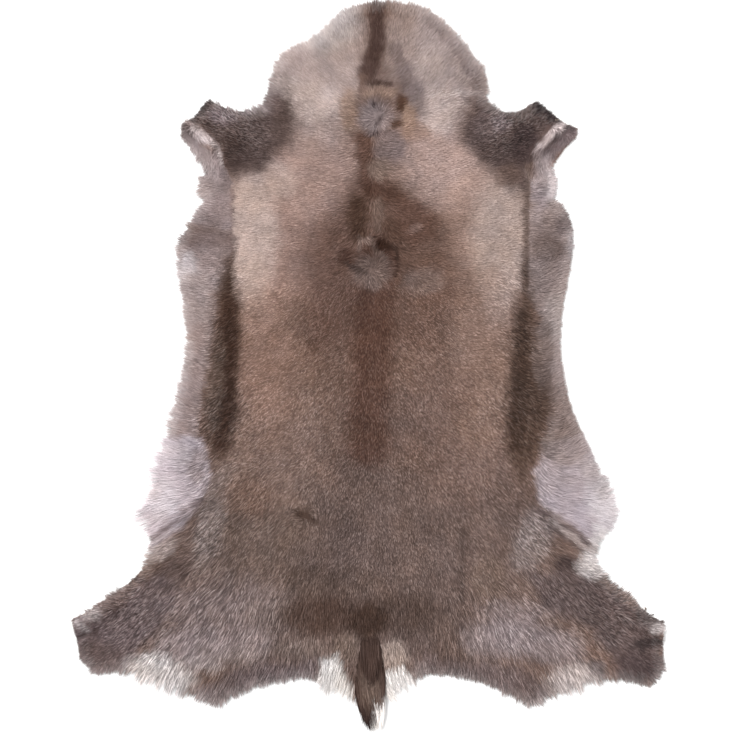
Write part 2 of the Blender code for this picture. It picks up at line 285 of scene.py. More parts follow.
# The coat's markings, laid one over the other in this order. A panel fills its outline. A patch is a soft
# oval, turned anticlockwise by its turn in degrees. A stripe runs along its line. A tone is red, green and
# blue out of 255, and the strength is how far it covers what is under it.
Panel = namedtuple("Panel", "name outline soft tone strength")
Patch = namedtuple("Patch", "name middle half turn tone strength")
Stripe = namedtuple("Stripe", "name line half tone strength")
GROUND_TONE = (118, 94, 84)
MARKINGS = (
    Patch("lower back", (0, -350), (420, 200), 0, (105, 87, 81), 0.9),
    Patch("left hip", (-190, -250), (95, 140), 0, (116, 97, 88), 0.6),
    Patch("left loin", (-160, -110), (95, 120), 0, (138, 113, 102), 0.8),
    Patch("right loin", (150, -110), (95, 110), 0, (118, 95, 86), 0.8),
    Patch("left fawn flank", (-175, 40), (62, 150), 0, (144, 116, 104), 0.9),
    Patch("left flank light", (-188, 100), (28, 52), 0, (166, 138, 127), 0.6),
    Patch("right fawn flank", (195, 20), (52, 150), 0, (136, 110, 98), 0.9),
    Patch("right flank light", (222, 108), (26, 42), 0, (158, 133, 122), 0.6),
    Patch("right flank dark", (158, -40), (28, 44), 0, (112, 88, 78), 0.6),
    Patch("right loin dark", (78, -115), (50, 62), 0, (104, 82, 73), 0.5),
    Patch("left rib surround", (-130, 245), (90, 130), 0, (165, 137, 127), 0.9),
    Patch("right rib surround", (172, 262), (88, 105), 0, (152, 128, 119), 0.9),
    Patch("left beige rib", (-205, 230), (50, 108), 0, (194, 173, 165), 1.0),
    Patch("right beige rib", (228, 228), (52, 105), 0, (166, 147, 139), 0.95),
    Patch("right rib foot", (212, 156), (24, 22), 0, (142, 119, 109), 0.5),
    Patch("left shoulder", (-95, 345), (80, 85), 0, (171, 145, 136), 0.85),
    Patch("left shoulder pale", (-160, 320), (38, 34), 0, (190, 170, 162), 0.6),
    Patch("right shoulder", (122, 360), (75, 85), 0, (172, 147, 138), 0.85),
    Patch("left neck", (-85, 510), (85, 120), 0, (172, 154, 149), 0.95),
    Patch("left neck top", (-62, 585), (52, 40), 30, (178, 168, 166), 0.7),
    Patch("left neck light", (-90, 456), (42, 34), 0, (193, 175, 169), 0.8),
    Patch("right neck", (118, 530), (80, 110), 0, (160, 144, 140), 0.95),
    Patch("right neck light", (105, 505), (30, 40), 0, (176, 158, 151), 0.7),
    Patch("right neck pale spot", (122, 440), (32, 40), 0, (186, 168, 162), 0.8),
    Patch("right inner neck", (55, 560), (26, 60), 0, (156, 137, 130), 0.6),
    Panel(
        "left mantle",
        ((-26, 320), (-55, 275), (-98, 240), (-112, 190), (-112, 120), (-95, 40), (0, 40), (0, 320)),
        68,
        (110, 84, 74),
        0.9,
    ),
    Panel(
        "right mantle",
        ((0, 318), (44, 316), (104, 284), (142, 256), (150, 190), (156, 130), (112, 40), (0, 40)),
        62,
        (103, 79, 69),
        0.9,
    ),
    Stripe("spine", ((16, 190), (8, 60), (0, -135)), (34, 34), (88, 61, 51), 0.8),
    Panel(
        "right shoulder dark",
        ((22, 314), (56, 300), (92, 284), (118, 258), (112, 222), (72, 212), (48, 230), (40, 262)),
        28,
        (96, 70, 60),
        0.75,
    ),
    Patch("right mantle grey", (95, 148), (36, 24), 10, (120, 103, 98), 0.6),
    Patch("right mantle pale fleck", (80, 242), (13, 8), 20, (134, 110, 102), 0.5),
    Patch("neck whorl ground", (35, 440), (48, 60), 0, (126, 105, 98), 0.8),
    Panel(
        "neck mane",
        ((2, 634), (2, 560), (-14, 520), (-16, 478), (15, 498), (30, 540), (29, 634)),
        13,
        (80, 61, 56),
        0.95,
    ),
    Stripe("mane line", ((-10, 495), (-13, 450), (-12, 395)), (8, 8), (124, 101, 92), 0.7),
    Panel(
        "withers mane",
        ((-24, 402), (8, 400), (16, 330), (26, 296), (-10, 296), (-14, 330)),
        16,
        (100, 73, 63),
        0.85,
    ),
    Stripe("neck feather", ((47, 548), (60, 510), (72, 480)), (9, 16), (112, 96, 93), 0.75),
    Patch("neck feather foot", (84, 466), (16, 30), 0, (126, 111, 109), 0.7),
    Patch("neck whorl grey", (10, 428), (27, 30), 0, (138, 125, 126), 0.9),
    Patch("neck lower grey", (38, 378), (26, 26), 0, (128, 111, 109), 0.85),
    Patch("neck olive tuft", (20, 342), (20, 20), 0, (126, 106, 96), 0.8),
    Stripe("neck curl", ((-2, 474), (18, 478), (44, 471)), (7, 7), (158, 133, 120), 0.8),
    # Painted shade down in the coat's slits at the neck curl and whorl.
    Stripe("neck curl slit", ((2, 488), (24, 491), (43, 486)), (3.5, 3.5), (66, 48, 42), 0.85),
    Stripe("neck whorl slit", ((12, 452), (20, 437), (20, 417), (16, 403)), (3, 3), (60, 49, 50), 0.9),
    Stripe("neck whorl foot", ((2, 401), (33, 400)), (3, 3), (96, 80, 80), 0.7),
    Patch("upper ochre spot", (57, 451), (11, 13), 0, (80, 56, 44), 0.95),
    Patch("lower ochre spot", (50, 416), (10, 10), 0, (76, 54, 44), 0.95),
    Patch("ochre rim", (70, 425), (12, 26), 0, (168, 138, 118), 0.6),
    Patch("left ochre", (-32, 442), (14, 36), 0, (158, 130, 112), 0.6),
    Patch("right ochre", (80, 404), (26, 18), 0, (150, 122, 108), 0.6),
    Panel("withers dark", ((-4, 318), (34, 318), (60, 290), (20, 278), (-6, 290)), 18, (84, 60, 50), 0.85),
    Panel(
        "withers olive strip",
        ((-30, 296), (-4, 292), (2, 250), (-4, 224), (-30, 220), (-36, 262)),
        16,
        (76, 56, 46),
        0.9,
    ),
    Patch("withers upper tuft", (16, 264), (12, 26), 0, (112, 92, 83), 0.8),
    Patch("withers right dark", (42, 236), (18, 20), 0, (84, 62, 52), 0.7),
    # The withers curl: its own paler strands, lightened along the curl as painted highlight.
    Stripe(
        "withers curl",
        ((-15, 205), (-12, 222), (2, 222), (14, 202), (26, 190)),
        (5, 6),
        (122, 102, 94),
        0.8,
    ),
    # Painted shade in the withers hollow.
    Patch("withers hollow", (26, 212), (17, 10), -20, (58, 39, 31), 0.95),
    Patch("withers left dark", (-37, 193), (13, 16), 0, (76, 54, 46), 0.85),
    Patch("withers tuft", (4, 165), (34, 30), 0, (120, 101, 94), 0.85),
    # Painted shade down in the withers slits.
    Stripe("withers slit", ((44, 208), (49, 185), (45, 160)), (4.5, 4), (66, 48, 40), 0.9),
    Stripe("withers left slit", ((-36, 179), (-20, 171), (-6, 160)), (3, 3), (74, 60, 56), 0.85),
    Stripe("withers second slit", ((-33, 170), (-16, 160)), (2.5, 2.5), (80, 66, 62), 0.7),
    Panel(
        "left foreleg",
        (
            (-148, 500), (-118, 430), (-130, 384), (-186, 334), (-236, 326), (-258, 372), (-306, 428),
            (-278, 470), (-210, 450),
        ),
        36,
        (88, 72, 68),
        0.95,
    ),
    Patch("left foreleg core", (-226, 374), (22, 30), 10, (66, 51, 47), 0.5),
    Patch("left foreleg mauve", (-190, 408), (34, 26), 0, (102, 86, 83), 0.65),
    Patch("left foreleg front", (-196, 442), (32, 10), 0, (136, 122, 122), 0.75),
    Stripe("left foreleg neck", ((-166, 490), (-158, 450)), (12, 14), (118, 100, 97), 0.6),
    Panel(
        "right foreleg",
        (
            (178, 455), (156, 394), (196, 350), (232, 316), (268, 300), (280, 330), (296, 372), (335, 432),
            (292, 472), (230, 450),
        ),
        36,
        (82, 67, 64),
        0.95,
    ),
    Patch("right foreleg core", (268, 385), (24, 34), 0, (58, 45, 45), 0.7),
    Patch("right foreleg olive", (240, 330), (26, 18), 0, (104, 84, 76), 0.6),
    Patch("left foreleg grey", (-248, 430), (26, 14), -10, (112, 97, 99), 0.75),
    Stripe("left foreleg streak", ((-264, 453), (-236, 447)), (5, 5), (140, 129, 127), 0.7),
    Stripe("left foreleg cut", ((-272, 462), (-300, 432)), (11, 11), (58, 47, 46), 0.85),
    Patch("right foreleg grey", (205, 420), (22, 26), 0, (106, 90, 88), 0.7),
    Patch("right foreleg front", (272, 452), (20, 8), 25, (108, 97, 97), 0.7),
    Patch("right foreleg lilac", (226, 420), (16, 14), 0, (120, 105, 107), 0.6),
    Stripe("right foreleg cut", ((290, 452), (332, 424)), (13, 9), (44, 34, 35), 0.9),
    Panel(
        "left chest strip",
        (
            (-262, 372), (-243, 330), (-230, 300), (-229, 232), (-300, 246), (-312, 300), (-290, 330),
            (-284, 350),
        ),
        8,
        (152, 135, 134),
        0.95,
    ),
    Panel(
        "left belly",
        (
            (-229, 232), (-229, 190), (-256, 160), (-262, 60), (-276, -20), (-290, -80), (-290, -150),
            (-380, -150), (-330, 232),
        ),
        14,
        (153, 135, 132),
        0.95,
    ),
    # Painted shade along the left belly crease.
    Stripe("left belly fold", ((-312, 226), (-272, 226), (-236, 216)), (14, 16), (108, 90, 86), 0.75),
    Patch("left upper belly", (-286, 150), (32, 24), 0, (168, 152, 151), 0.6),
    Patch("left belly corner", (-318, 222), (14, 16), 0, (98, 84, 84), 0.7),
    Patch("left chest foot", (-268, 248), (24, 15), 0, (128, 111, 107), 0.6),
    Patch("silver spot", (-304, 174), (13, 28), 0, (194, 183, 184), 0.85),
    Stripe("left belly light", ((-290, 150), (-288, 90)), (18, 16), (160, 144, 141), 0.8),
    Stripe(
        "left belly rim",
        ((-318, 110), (-310, 30), (-330, -60), (-350, -140)),
        (10, 14),
        (172, 160, 160),
        0.7,
    ),
    Panel(
        "right belly",
        (
            (268, 340), (268, 140), (290, 100), (296, 20), (312, -60), (300, -140), (300, -160),
            (400, -160), (360, 240), (310, 300),
        ),
        12,
        (148, 132, 129),
        0.95,
    ),
    Patch("right armpit", (296, 302), (18, 28), 0, (154, 139, 140), 0.85),
    Patch("right armpit tuft", (318, 316), (20, 26), 0, (196, 184, 186), 0.8),
    Patch("right belly mauve", (304, 238), (26, 22), 0, (112, 96, 92), 0.7),
    Patch("right belly brown", (307, 206), (28, 24), -10, (92, 75, 69), 0.88),
    Patch("right lower belly", (330, -78), (26, 64), 14, (124, 106, 100), 0.75),
    Patch("right belly corner", (334, 250), (14, 22), 0, (94, 81, 81), 0.65),
    Stripe("right belly rim line", ((338, 266), (348, 240), (347, 222)), (6, 6), (96, 84, 84), 0.5),
    Patch("right belly rim spots", (346, 212), (8, 22), 0, (156, 146, 146), 0.7),
    Patch("right belly light", (298, 165), (28, 60), 0, (126, 110, 106), 0.6),
    Patch("right belly pale", (318, 84), (20, 46), 0, (160, 147, 144), 0.7),
    Stripe("left rib line", ((-234, 310), (-233, 240), (-232, 182)), (3, 4), (122, 102, 97), 0.65),
    Stripe("right rib line", ((274, 345), (272, 300), (271, 240), (270, 140)), (7, 6), (98, 80, 72), 0.8),
    Panel(
        "left side stripe",
        (
            (-246, 190), (-230, 196), (-221, 110), (-219, 60), (-226, 0), (-226, -80), (-234, -130),
            (-246, -158), (-262, -146), (-276, -122), (-274, -76), (-264, -30), (-262, 40), (-255, 110),
        ),
        30,
        (72, 52, 43),
        0.97,
    ),
    Panel(
        "right side stripe",
        (
            (272, 190), (284, 120), (284, 60), (290, 20), (316, -14), (312, -70), (300, -110), (292, -142),
            (260, -190), (240, -142), (234, -80), (240, -10), (248, 60), (262, 120),
        ),
        32,
        (76, 58, 49),
        0.97,
    ),
    Patch("right stripe grizzle", (298, 30), (16, 66), 0, (112, 96, 91), 0.7),
    Stripe("right stripe core", ((264, 90), (256, -20), (254, -130)), (11, 13), (60, 44, 36), 0.6),
    Patch("left stripe grizzle", (-260, -30), (14, 84), -4, (104, 87, 79), 0.65),
    Stripe("left stripe core", ((-232, 110), (-232, 0), (-236, -80)), (9, 11), (62, 44, 36), 0.6),
    Panel(
        "left flank tuft",
        (
            (-346, -118), (-284, -122), (-268, -180), (-278, -212), (-322, -272), (-376, -322),
            (-430, -290), (-420, -180),
        ),
        14,
        (185, 172, 177),
        0.97,
    ),
    Patch("left flank tuft root", (-290, -166), (17, 32), 0, (138, 122, 120), 0.7),
    Patch("left groin light", (-242, -184), (20, 24), 0, (130, 110, 102), 0.6),
    Patch("left flank tuft top", (-326, -150), (24, 20), 0, (191, 179, 182), 0.7),
    Patch("left flank tuft light", (-358, -216), (34, 44), 25, (207, 197, 201), 0.8),
    Panel(
        "right flank tuft",
        (
            (302, -130), (368, -112), (404, -180), (440, -242), (400, -312), (352, -268), (298, -234),
            (282, -180),
        ),
        12,
        (169, 156, 160),
        0.97,
    ),
    Patch("right flank tuft root", (340, -140), (32, 28), 0, (146, 131, 129), 0.8),
    Patch("right flank tuft tip", (398, -228), (24, 40), 10, (204, 196, 198), 0.7),
    Patch("right flank tuft rim", (384, -186), (13, 38), 26, (160, 148, 147), 0.6),
    Patch("right stripe foot", (306, -134), (12, 24), 0, (112, 96, 90), 0.6),
    Patch("left grizzled thigh", (-268, -262), (24, 84), -14, (138, 123, 119), 0.65),
    Patch("right grizzled thigh", (282, -292), (30, 56), -22, (142, 128, 126), 0.65),
    Stripe("right flank ridge", ((316, -258), (345, -283), (384, -312)), (9, 10), (160, 146, 143), 0.85),
    # Painted shade in the left flank's creases.
    Stripe("left flank fold", ((-285, -224), (-330, -258), (-372, -292)), (3, 4), (112, 96, 96), 0.8),
    Stripe("left flank lower fold", ((-318, -276), (-365, -306)), (3, 3), (130, 114, 112), 0.7),
    Stripe(
        "left flank upper fold",
        ((-278, -200), (-300, -226), (-352, -262)),
        (3, 3),
        (150, 136, 138),
        0.7,
    ),
    # Painted shade in the right flank's and stifle's creases.
    Stripe("right flank fold", ((296, -243), (338, -268), (378, -297)), (3, 3), (84, 70, 70), 0.85),
    Stripe("right stifle fold", ((310, -264), (350, -300), (386, -320)), (3, 3.5), (92, 78, 76), 0.8),
    Patch("left dark thigh", (-336, -350), (40, 24), 25, (90, 75, 72), 0.85),
    Patch("left stifle flap", (-352, -312), (30, 13), 35, (172, 158, 156), 0.7),
    # Painted shade in the left thigh's wrinkle.
    Stripe("left thigh wrinkle", ((-406, -356), (-380, -366), (-350, -372)), (5, 6), (66, 52, 50), 0.85),
    Patch("right dark knee", (338, -336), (24, 17), -20, (66, 54, 53), 0.9),
    Panel(
        "right dark leg",
        (
            (272, -352), (330, -345), (372, -352), (440, -398), (500, -422), (510, -540), (430, -520),
            (380, -440), (300, -410),
        ),
        22,
        (90, 76, 75),
        0.9,
    ),
    Patch("right stifle pale", (382, -334), (24, 26), -30, (204, 196, 195), 0.8),
    Patch("right stifle rim", (398, -300), (13, 34), 10, (214, 206, 205), 0.8),
    Panel(
        "left hind leg",
        (
            (-350, -352), (-440, -390), (-510, -428), (-512, -470), (-462, -540), (-410, -500),
            (-350, -440), (-320, -380),
        ),
        24,
        (107, 92, 93),
        0.85,
    ),
    Patch("left shin", (-440, -398), (34, 16), 25, (108, 86, 80), 0.7),
    Patch("left toe", (-455, -490), (44, 26), -10, (100, 83, 80), 0.8),
    Patch("right toe", (456, -508), (40, 28), 0, (76, 62, 61), 0.9),
    Patch("right toe dark", (480, -470), (24, 11), 5, (52, 43, 43), 0.85),
    Patch("right shin dark", (482, -430), (26, 12), -25, (66, 54, 53), 0.9),
    # Painted light on the left hind leg's fold: highlights along its ridge and painted shadow in the hollow
    # below it.
    Stripe("left hind leg ridge", ((-486, -424), (-462, -418)), (7, 8), (150, 139, 138), 0.8),
    Stripe("left hind leg light", ((-497, -434), (-486, -440), (-480, -449)), (4, 4), (166, 155, 154), 0.8),
    Stripe("left hind leg hollow", ((-503, -464), (-484, -454), (-462, -448)), (5, 4), (70, 56, 54), 0.85),
    # A painted highlight along the right hind leg's ridge.
    Stripe("right hind leg ridge", ((506, -446), (488, -443)), (6, 6), (182, 173, 173), 0.75),
    Stripe("right hind leg streak", ((486, -442), (440, -430)), (4, 4), (106, 94, 94), 0.5),
    Stripe("left thigh band", ((-345, -480), (-290, -468), (-190, -468)), (24, 30), (147, 132, 132), 0.7),
    Patch("left thigh light", (-354, -496), (24, 11), -10, (176, 168, 167), 0.7),
    Stripe("right thigh band", ((190, -462), (260, -462), (345, -482)), (28, 28), (143, 128, 128), 0.7),
    Patch("left outer thigh", (-270, -420), (66, 38), 0, (131, 116, 116), 0.6),
    Patch("right outer thigh", (250, -418), (62, 22), 0, (134, 118, 117), 0.6),
    Patch("left seat light", (-250, -490), (62, 18), -8, (138, 124, 122), 0.6),
    Patch("left rump light", (-112, -478), (50, 16), 0, (126, 109, 103), 0.6),
    Patch("left inner thigh", (-170, -410), (50, 26), 0, (114, 98, 91), 0.6),
    Patch("left thigh haze", (-230, -415), (120, 60), 0, (131, 115, 114), 0.4),
    Patch("rump", (-80, -420), (70, 34), 0, (76, 57, 49), 0.85),
    Patch("right rump", (55, -420), (60, 34), 0, (82, 65, 58), 0.8),
    Patch("above the tail", (0, -432), (34, 34), 0, (62, 45, 37), 0.9),
    Panel(
        "left seat",
        ((-292, -548), (-260, -588), (-190, -550), (-84, -535), (-84, -498), (-170, -500), (-230, -518)),
        26,
        (105, 91, 92),
        0.8,
    ),
    Panel(
        "right seat",
        ((80, -535), (180, -548), (268, -592), (312, -552), (286, -524), (200, -502), (100, -490)),
        26,
        (102, 87, 86),
        0.8,
    ),
    Patch("left white tuft", (-352, -516), (58, 18), -17, (214, 207, 206), 0.75),
    Patch("left back of thigh light", (-290, -506), (38, 14), -8, (160, 148, 147), 0.6),
    Patch("left lobe light", (-256, -558), (44, 15), 0, (130, 116, 115), 0.7),
    Patch("right lobe light", (292, -562), (24, 15), 0, (142, 128, 127), 0.6),
    Patch("right rump edge light", (92, -514), (18, 14), 0, (138, 122, 118), 0.5),
    Patch("right white tuft", (350, -526), (46, 20), 14, (176, 164, 161), 0.8),
    Patch("right tuft dark", (392, -510), (14, 12), -20, (96, 84, 83), 0.8),
    Patch("left tail beige", (-38, -476), (22, 24), 0, (126, 106, 96), 0.85),
    Patch("right tail beige", (44, -492), (24, 26), 0, (160, 140, 129), 0.9),
    Panel(
        "left tail tuft",
        ((-78, -494), (-52, -488), (-38, -530), (-24, -560), (-24, -640), (-96, -640), (-80, -530)),
        12,
        (212, 207, 205),
        0.97,
    ),
    Panel(
        "right tail tuft",
        ((26, -526), (58, -508), (76, -528), (104, -640), (10, -640), (10, -540)),
        9,
        (220, 214, 211),
        0.95,
    ),
    Patch("croup crescent", (-106, -254), (24, 8), -22, (66, 50, 43), 0.9),
    Stripe("croup line", ((161, -276), (160, -395)), (5, 5), (84, 69, 64), 0.65),
    Patch("loin warm left", (-205, -215), (46, 34), 0, (126, 99, 87), 0.5),
    Patch("hip warm right", (205, -356), (28, 40), 0, (124, 104, 94), 0.5),
    Patch("croup dark left", (-100, -365), (40, 26), 0, (84, 67, 58), 0.5),
    Patch("croup dark", (-26, -364), (50, 24), 0, (92, 74, 66), 0.5),
    Stripe(
        "right neck rim",
        ((104, 596), (150, 552), (182, 500), (190, 455)),
        (8, 8),
        (118, 103, 101),
        0.6,
    ),
    Patch("left neck rim", (-168, 478), (14, 30), 0, (112, 95, 93), 0.75),
    Patch("left neck shade", (-128, 542), (20, 26), 30, (152, 136, 133), 0.5),
    Patch("left neck root light", (-136, 482), (20, 18), 0, (186, 170, 165), 0.5),
    Stripe("right neck crease", ((108, 468), (150, 474), (188, 470)), (3.5, 3.5), (188, 175, 171), 0.3),
    # The left foreleg roll: its own pale hair, lighter along the crest as painted highlight.
    Panel(
        "left foreleg roll",
        (
            (-316, 426), (-290, 416), (-268, 396), (-253, 374), (-246, 336), (-262, 368), (-280, 388),
            (-300, 403),
        ),
        6,
        (170, 152, 148),
        0.95,
    ),
    # A painted highlight line along the crest of the left foreleg roll.
    Stripe(
        "left foreleg roll light",
        ((-304, 410), (-282, 394), (-262, 375), (-251, 348)),
        (4, 4),
        (192, 178, 176),
        0.6,
    ),
    Stripe("left foreleg back", ((-306, 392), (-284, 360), (-262, 310)), (13, 17), (150, 135, 134), 0.9),
    Stripe("left foreleg corner", ((-318, 413), (-306, 398)), (9, 8), (98, 84, 82), 0.85),
    # The right foreleg roll: its own pale hair, lighter along the crest as painted highlight.
    Panel(
        "right foreleg roll",
        ((334, 425), (354, 424), (344, 414), (322, 396), (300, 374), (288, 364), (290, 378), (306, 400)),
        5,
        (184, 168, 166),
        0.95,
    ),
    Stripe("right foreleg back", ((350, 406), (326, 384), (308, 364)), (13, 13), (104, 90, 91), 0.9),
    Stripe("right foreleg strands", ((300, 354), (296, 318)), (12, 14), (158, 144, 144), 0.85),
    # Painted shadow in the trough beside the right foreleg roll.
    Stripe("right foreleg line", ((340, 412), (318, 392), (294, 366)), (2.5, 2.5), (72, 58, 58), 0.7),
    Patch("right foreleg corner", (348, 413), (9, 9), 35, (80, 68, 68), 0.8),
)

# The tail: its plan from the rump to its last skin, and the colours of its hair.
TAIL_PLAN = ((-12, -455), (-20, -500), (-26, -545), (-4, -566), (26, -562), (30, -520), (20, -455))
TAIL_TIP = (17, -632)
TAIL_SKIN_END = -548.0
TAIL_REACH = 62.0
TAIL_GROUND = (64, 48, 42)
TAIL_MARKINGS = (
    Patch("tail middle", (2, -508), (22, 26), 0, (94, 78, 70), 0.85),
    Patch("tail end", (-8, -552), (22, 22), 0, (46, 35, 35), 0.95),
    Panel(
        "tail white edge",
        ((-3, -590), (1, -545), (22, -526), (46, -526), (40, -590)),
        6,
        (228, 224, 222),
        1.0,
    ),
)

# The sheet


def distance_to_line(points, line):
    """Each point's distance to a line through two or more places."""
    nearest = np.full(len(points), np.inf)
    for start, end in zip(line[:-1], line[1:]):
        start = np.asarray(start, float)
        along = np.asarray(end, float) - start
        share = np.clip((points - start) @ along / (along @ along), 0.0, 1.0)
        nearest = np.minimum(nearest, np.linalg.norm(points - start - share[:, None] * along, axis=1))
    return nearest


def nearest_on_edge(points, edge):
    """Each point's distance to the closed edge, and the place on the edge that it is nearest to."""
    distance = np.full(len(points), np.inf)
    place = np.zeros_like(points)
    for start, end in zip(edge, np.roll(edge, -1, axis=0)):
        along = end - start
        share = np.clip((points - start) @ along / (along @ along), 0.0, 1.0)
        there = start + share[:, None] * along
        away = np.linalg.norm(points - there, axis=1)
        nearer = away < distance
        distance[nearer] = away[nearer]
        place[nearer] = there[nearer]
    return distance, place


def inside(points, edge):
    """True for each point that a line to the right crosses the edge from an odd number of times."""
    x, y = points[:, 0], points[:, 1]
    odd = np.zeros(len(points), bool)
    for (ax, ay), (bx, by) in zip(edge, np.roll(edge, -1, axis=0)):
        if ay == by:
            continue
        crosses = (ay > y) != (by > y)
        odd ^= crosses & (x < ax + (y - ay) * (bx - ax) / (by - ay))
    return odd


def hide_edge():
    """The hide's edge in millimetres, anticlockwise and in even steps, from the underside of its solid.

    It starts at the corner that is furthest down the tail, so that every run gives the same meshes.
    """
    work = bmesh.new()
    work.from_mesh(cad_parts[HIDE].data)
    bmesh.ops.remove_doubles(work, verts=work.verts, dist=SAME_POINT * MM)
    under = {face for face in work.faces if face.normal.z < UNDERSIDE_NORMAL}
    following = {}
    for face in under:
        for loop in face.loops:
            if sum(other in under for other in loop.edge.link_faces) == 1:
                following[loop.link_loop_next.vert] = loop.vert
    first = min(following, key=lambda corner: (corner.co.y, corner.co.x))
    corners = [first]
    while following[corners[-1]] is not first:
        corners.append(following[corners[-1]])
    edge = np.array([corner.co[:2] for corner in corners]) / MM
    work.free()
    return in_even_steps(edge, EDGE_STEP)


def in_even_steps(edge, step):
    closed = np.vstack([edge, edge[:1]])
    run = np.concatenate([[0.0], np.cumsum(np.linalg.norm(np.diff(closed, axis=0), axis=1))])
    stops = np.linspace(0.0, run[-1], int(run[-1] / step), endpoint=False)
    return np.column_stack([np.interp(stops, run, closed[:, axis]) for axis in (0, 1)])


def mirrored(place):
    return (2.0 * MIDLINE - place[0], place[1])


def overhang_at(points):
    """How far the hair hangs past the skin at each place on the edge."""
    total = np.zeros(len(points))
    amount = np.zeros(len(points))
    for fringe in FRINGES:
        weight = (np.linalg.norm(points - fringe.place, axis=1) + 4.0) ** -3.0
        total += weight
        amount += weight * fringe.overhang
    return amount / total


def locks_at(points):
    """How far the locks let the hair reach past its room."""
    extra = np.zeros(len(points))
    for lock in LOCKS:
        extra += lock.extra * np.exp(-((np.linalg.norm(points - lock.place, axis=1) / lock.size) ** 2))
    return extra


def skin_edge(edge):
    """The edge moved in by a share of the overhang, without the places that would cross over at a corner."""
    ahead = np.roll(edge, -2, axis=0) - np.roll(edge, 2, axis=0)
    ahead /= np.linalg.norm(ahead, axis=1)[:, None]
    inward = np.column_stack([-ahead[:, 1], ahead[:, 0]])
    overhang = overhang_at(edge)
    moved = edge + inward * (SKIN_SHORT * overhang)[:, None]
    tail = (np.abs(moved[:, 0] - TAIL_TIP[0]) < TAIL_REACH) & (moved[:, 1] < TAIL_SKIN_END)
    moved[tail, 1] = TAIL_SKIN_END
    clear = nearest_on_edge(moved, edge)[0] > 0.8 * SKIN_SHORT * overhang
    return moved[clear]


def flat_sheet(edge, step):
    """Places and triangles of a flat sheet in an edge, filled with even triangles."""
    low, high = edge.min(axis=0), edge.max(axis=0)
    rows = np.arange(low[1], high[1], step * np.sqrt(0.75))
    grid = []
    for row, y in enumerate(rows):
        shift = row % 2 * step / 2.0
        grid += [(x, y) for x in np.arange(low[0] + shift, high[0], step)]
    grid = np.array(grid)
    grid = grid[inside(grid, edge)]
    grid = grid[nearest_on_edge(grid, edge)[0] > 0.5 * step]
    points = [Vector(point) for point in np.vstack([edge, grid])]
    inner_faces = 1
    outline = [list(range(len(edge)))]
    points, _, faces, _, _, _ = delaunay_2d_cdt(points, [], outline, inner_faces, SAME_POINT)
    return np.array([point[:] for point in points]), faces


def unevenness(points, size, seed):
    """Soft noise over the hide, from about -1 to 1, with swells of about the size."""
    return np.array([noise.noise(Vector((x / size, y / size, seed))) for x, y in points]) * 1.6


def lift_at(points):
    """How far the skin is off the ground."""
    lift = np.zeros(len(points))
    for fold in FOLDS:
        near = 1.0 - distance_to_line(points, (fold.start, fold.end)) / (fold.width / 2.0)
        lift = np.maximum(lift, fold.lift * smooth_step(near))
    return lift


def mesh_of(name, flat, heights, faces):
    """A mesh in metres from places and heights in millimetres, with its faces up."""
    mesh = bpy.data.meshes.new(name)
    mesh.from_pydata(np.column_stack([flat, heights]) * MM, [], faces)
    work = bmesh.new()
    work.from_mesh(mesh)
    for face in work.faces:
        if face.normal.z < 0.0:
            face.normal_flip()
    work.to_mesh(mesh)
    work.free()
    mesh.shade_smooth()
    return mesh


def shown(name, mesh):
    piece = bpy.data.objects.new(name, mesh)
    bpy.context.scene.collection.objects.link(piece)
    return piece


# What the scalp carries


def lie_at(points):
    """Which way the hair lies, and its reach, height and grain."""
    total = np.zeros(len(points))
    lay = np.zeros((len(points), 2))
    build = np.zeros((len(points), 3))
    for row in LIES:
        for place, lean in ((row.place, row.lean), (mirrored(row.place), 180.0 - row.lean)):
            weight = (1.0 + (np.linalg.norm(points - place, axis=1) / row.size) ** 2) ** -3.0
            turn = np.radians(lean)
            total += weight
            lay += weight[:, None] * np.array([np.cos(turn), np.sin(turn)])
            build += weight[:, None] * np.array([row.reach, row.height, row.grain])
    for whorl in WHORLS:
        away = points - np.asarray(whorl.middle, float)
        far = np.maximum(np.linalg.norm(away, axis=1), SAME_POINT)
        turn = np.arctan2(away[:, 1], away[:, 0]) + np.radians(whorl.spin)
        pull = 3.0 * total * np.exp(-((far / whorl.size) ** 2))
        lay += pull[:, None] * np.column_stack([np.cos(turn), np.sin(turn)])
    lay /= np.linalg.norm(lay, axis=1)[:, None]
    return lay, *(build / total[:, None]).T


def oval_cover(points, patch):
    """A patch's cover, full in its middle and down to nothing past its half sizes."""
    turn = np.radians(patch.turn)
    away = points - np.asarray(patch.middle, float)
    along = away @ np.array([np.cos(turn), np.sin(turn)]) / patch.half[0]
    across = away @ np.array([-np.sin(turn), np.cos(turn)]) / patch.half[1]
    return smooth_step((1.4 - np.hypot(along, across)) / 0.8)


def stripe_cover(points, stripe):
    """The stripe's half width runs evenly from its first to its last place."""
    cover = np.zeros(len(points))
    halves = np.linspace(stripe.half[0], stripe.half[1], len(stripe.line))
    for start, end, half in zip(stripe.line[:-1], stripe.line[1:], (halves[:-1] + halves[1:]) / 2.0):
        away = distance_to_line(points, (start, end)) / half
        cover = np.maximum(cover, smooth_step((1.5 - away) / 1.0))
    return cover


def panel_cover(points, panel):
    """A panel's cover, full inside its outline and running out over its soft width."""
    outline = np.array(panel.outline, float)
    away = distance_to_line(points, np.vstack([outline, outline[:1]]))
    return smooth_step(0.5 + np.where(inside(points, outline), away, -away) / panel.soft)


COVERS = {Patch: oval_cover, Stripe: stripe_cover, Panel: panel_cover}


